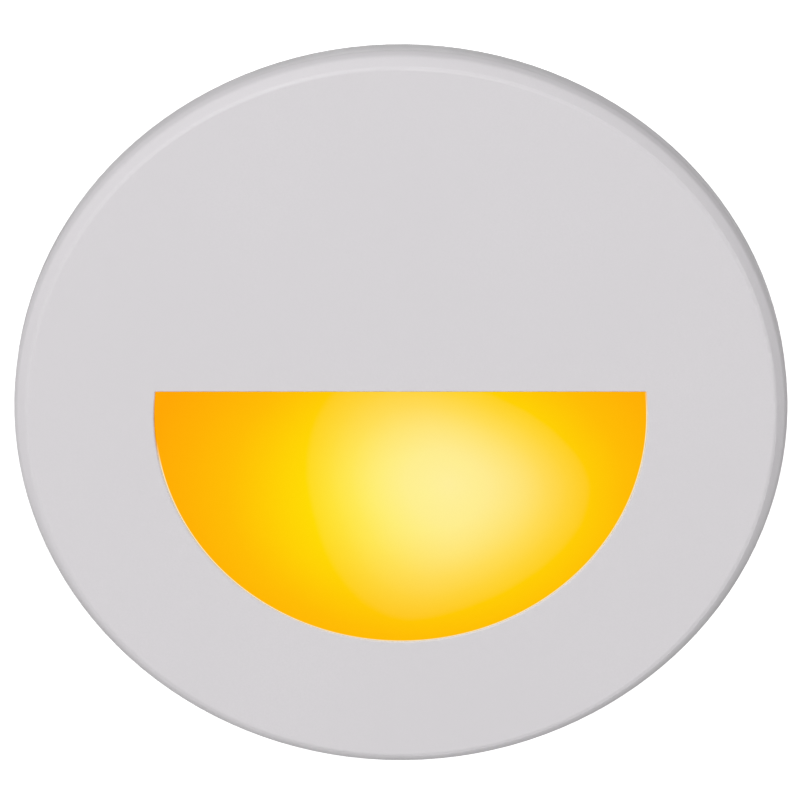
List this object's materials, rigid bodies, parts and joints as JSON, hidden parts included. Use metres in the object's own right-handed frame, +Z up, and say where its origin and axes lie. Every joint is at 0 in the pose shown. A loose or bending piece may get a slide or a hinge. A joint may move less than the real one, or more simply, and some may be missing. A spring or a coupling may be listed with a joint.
{
  "type": "recessed step light",
  "caption": "Round recessed wall step light with a bevelled plate, a lit half-moon window and two sprung clips behind.",
  "frame": {"origin": "on the body's axis in the plane of the wall, where the gasket seals", "axes": "+X right, +Y into the wall, +Z up; the light faces -Y"},
  "size_m": [0.08, 0.0496, 0.08],
  "materials": {
    "painted_plate": "satin light grey paint",
    "black_rubber": "matte",
    "grey_rubber": "matte",
    "opal_lens": "opal diffuser, lit warm yellow",
    "white_reflector": "diffuse white",
    "white_board": "white solder mask on metal",
    "lamp": "lamp body with phosphor",
    "thermal": "thermal pad",
    "cast_body": "cast, matte grey",
    "zinc_screw": "zinc plated",
    "white_plastic": "moulded",
    "lead_sleeve": "insulated lead",
    "green_board": "green solder mask",
    "ferrite": "ferrite core",
    "winding": "taped winding",
    "capacitor_sleeve": "shrink sleeve",
    "chip": "moulded",
    "grey_plastic": "moulded",
    "black_plastic": "moulded",
    "spring_steel": "bright"
  },
  "bodies": {
    "light": {"face_plate": "painted_plate", "wall_gasket": "black_rubber", "window_lens": "opal_lens", "lens_gasket": "grey_rubber", "mixing_reflector": "white_reflector", "led_board": "white_board", "led_packages": "lamp", "thermal_pad": "thermal", "led_board_screws": "zinc_screw", "led_connector": "white_plastic", "led_leads": "lead_sleeve", "web_grommet": "black_rubber", "housing": "cast_body", "plate_screws": "zinc_screw", "driver_board": "green_board", "driver_screws": "zinc_screw", "transformer_core": "ferrite", "transformer_winding": "winding", "input_capacitor": "capacitor_sleeve", "output_capacitor": "capacitor_sleeve", "choke": "ferrite", "bridge_rectifier": "chip", "controller_chip": "chip", "fuse": "white_plastic", "terminal_block": "grey_plastic", "terminal_screws": "zinc_screw", "rear_cover": "cast_body", "cover_seal": "black_rubber", "cover_screws": "zinc_screw", "gland_washer": "black_rubber", "gland_body": "black_plastic", "gland_locknut": "black_plastic", "gland_seal": "grey_rubber", "gland_nut": "black_plastic", "clip_pin_left": "zinc_screw", "clip_pin_right": "zinc_screw", "clip_spring_left": "spring_steel", "clip_spring_right": "spring_steel"},
    "clip_left": {"clip_arm_left": "spring_steel", "clip_pad_left": "black_rubber"},
    "clip_right": {"clip_arm_right": "spring_steel", "clip_pad_right": "black_rubber"}
  },
  "joints": [
    {"name": "clip_left_swing", "type": "hinge", "parent": "light", "child": "clip_left", "pos_m": [-0.0309, 0.018, 0], "axis": [0, 0, -1], "range_deg": [0, 153], "stiffness_Nm_per_rad": 0.01, "deforming": ["clip_spring_left"]},
    {"name": "clip_right_swing", "type": "hinge", "parent": "light", "child": "clip_right", "pos_m": [0.0309, 0.018, 0], "axis": [0, 0, 1], "range_deg": [0, 153], "stiffness_Nm_per_rad": 0.01, "deforming": ["clip_spring_right"]}
  ]
}
